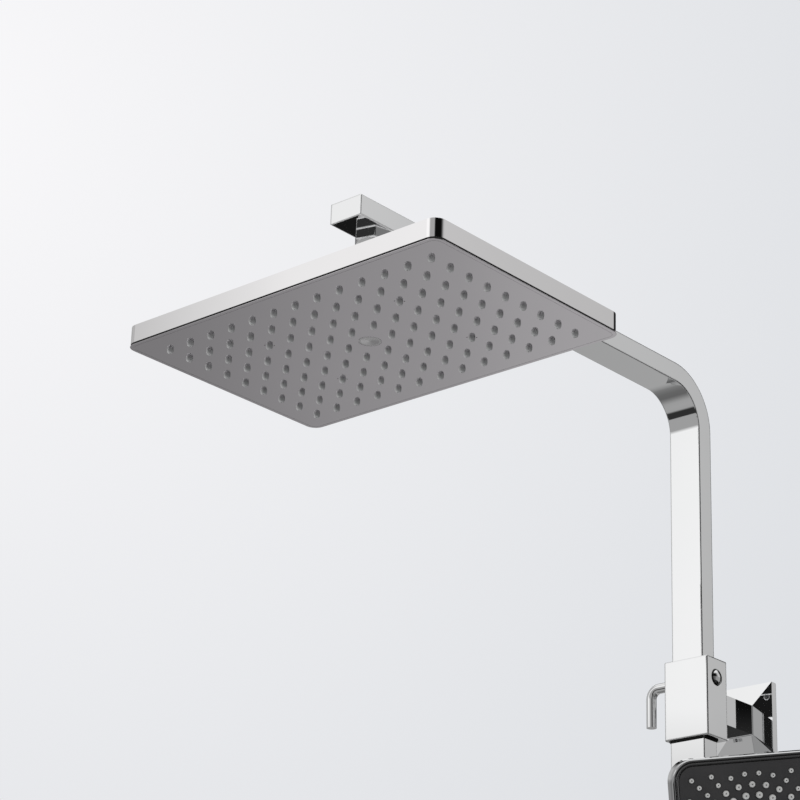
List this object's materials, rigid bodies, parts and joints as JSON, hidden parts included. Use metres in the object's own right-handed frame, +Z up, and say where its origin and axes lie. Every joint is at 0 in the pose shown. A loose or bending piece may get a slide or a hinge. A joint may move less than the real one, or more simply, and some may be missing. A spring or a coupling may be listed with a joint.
{
  "type": "shower system",
  "caption": "Wall-mounted shower column with a rectangular rain head on a flat gooseneck arm, a lever diverter block, a lower rail and a square handset in a sliding holder.",
  "frame": {"origin": "centre of the upper wall flange's back face, on the wall", "axes": "+X along the wall to the right as seen by the user, +Y into the wall, +Z up the rail"},
  "size_m": [0.307, 0.5988, 0.868],
  "materials": {
    "chrome": "polished",
    "head_chrome": "polished",
    "holder_chrome": "polished",
    "handset_chrome": "polished",
    "face_chrome": "polished",
    "cap_satin": "satin",
    "nozzle_rubber": "matte",
    "handset_black": "satin",
    "handset_nozzle_rubber": "matte",
    "button_grey": "gloss",
    "black_rubber": "matte",
    "brass": "machined",
    "screw_steel": "machined",
    "plate_steel": "brushed",
    "white_plastic": "satin",
    "grey_plastic": "satin",
    "filter_green": "matte"
  },
  "bodies": {
    "column": {"upper_flange_cover": "chrome", "upper_flange_gasket": "black_rubber", "upper_wall_plate": "plate_steel", "upper_wall_screws": "screw_steel", "inlet_neck": "chrome", "inlet_connector": "brass", "inlet_seal": "black_rubber", "neck_grub_screws": "screw_steel", "diverter_body": "chrome", "lever_gland": "chrome", "spindle_end_cap": "chrome", "riser_arm": "chrome", "riser_seal": "black_rubber", "riser_grub_screws": "screw_steel", "lower_rail": "chrome", "rail_seals": "black_rubber", "rail_grub_screws": "screw_steel", "lower_block": "chrome", "lower_neck": "chrome", "lower_flange_cover": "chrome", "lower_flange_gasket": "black_rubber", "lower_wall_plate": "plate_steel", "lower_wall_screws": "screw_steel", "hose_outlet": "chrome", "hose_outlet_seal": "black_rubber", "arm_nipple": "brass", "swivel_nut": "chrome"},
    "lever": {"lever": "chrome", "diverter_spool": "brass", "spool_o_rings": "black_rubber"},
    "swivel_seat": {"ball_seat": "black_rubber"},
    "swivel_liner": {"ball_liner": "white_plastic"},
    "rain_head": {"ball_stem": "head_chrome", "head_inlet_boss": "head_chrome", "boss_lock_nut": "brass", "flow_washer": "black_rubber", "head_shell": "head_chrome", "head_gasket": "black_rubber", "face_plate": "face_chrome", "nozzle_mat": "nozzle_rubber", "centre_screw": "screw_steel", "centre_cap": "cap_satin"},
    "slider": {"slider_body": "holder_chrome", "slider_bushing": "grey_plastic", "friction_washer": "black_rubber", "holder_pivot_screw": "screw_steel"},
    "knob": {"slider_knob": "holder_chrome"},
    "clamp_pad": {"slider_pad": "black_rubber"},
    "holder": {"holder_cup": "holder_chrome", "holder_insert": "grey_plastic"},
    "handset_foot": {"handset_cone": "handset_chrome", "handset_connector": "brass", "handset_filter": "filter_green"},
    "handset": {"handset_o_ring": "black_rubber", "handset_shell": "handset_chrome", "handset_trim": "handset_chrome", "handset_face": "handset_black", "handset_nozzles": "handset_nozzle_rubber"},
    "button": {"handset_button": "button_grey"}
  },
  "joints": [
    {"name": "lever_turn", "type": "hinge", "parent": "column", "child": "lever", "pos_m": [0, -0.0735, 0.02], "axis": [1, 0, 0], "range_deg": [-90, 0]},
    {"name": "head_nod", "type": "hinge", "parent": "column", "child": "swivel_seat", "pos_m": [0, -0.4823, 0.255], "axis": [1, 0, 0], "range_deg": [-12, 12]},
    {"name": "head_lean", "type": "hinge", "parent": "swivel_seat", "child": "swivel_liner", "pos_m": [0, -0.4823, 0.255], "axis": [0, 1, 0], "range_deg": [-12, 12]},
    {"name": "head_turn", "type": "hinge", "parent": "swivel_liner", "child": "rain_head", "pos_m": [0, -0.4823, 0.255], "axis": [0, 0, 1], "continuous": true},
    {"name": "slider_lift", "type": "slide", "parent": "column", "child": "slider", "axis": [0, 0, 1], "range_m": [-0.195, 0.225]},
    {"name": "knob_turn", "type": "hinge", "parent": "slider", "child": "knob", "pos_m": [-0.035, -0.0767, -0.2917], "axis": [1, 0, 0], "range_deg": [-180, 0]},
    {"name": "pad_press", "type": "slide", "parent": "slider", "child": "clamp_pad", "axis": [1, 0, 0], "range_m": [-0.0004, 0]},
    {"name": "holder_tilt", "type": "hinge", "parent": "slider", "child": "holder", "pos_m": [0.045, -0.0767, -0.2917], "axis": [1, 0, 0], "range_deg": [0, 35]},
    {"name": "handset_lift", "type": "slide", "parent": "holder", "child": "handset_foot", "axis": [0, -0.1874, 0.9823], "range_m": [0, 0.06]},
    {"name": "handset_turn", "type": "hinge", "parent": "handset_foot", "child": "handset", "pos_m": [0.0724, -0.0767, -0.2917], "axis": [0, -0.1874, 0.9823], "range_deg": [-49, 45]},
    {"name": "button_press", "type": "slide", "parent": "handset", "child": "button", "axis": [-0.7547, 0.6444, 0.1229], "range_m": [0, 0.0012], "stiffness_N_per_m": 400, "springref_m": -0.002}
  ],
  "couplings": [
    {"joint": "pad_press", "follows": "knob_turn", "m_per_rad": 0.0001272}
  ]
}
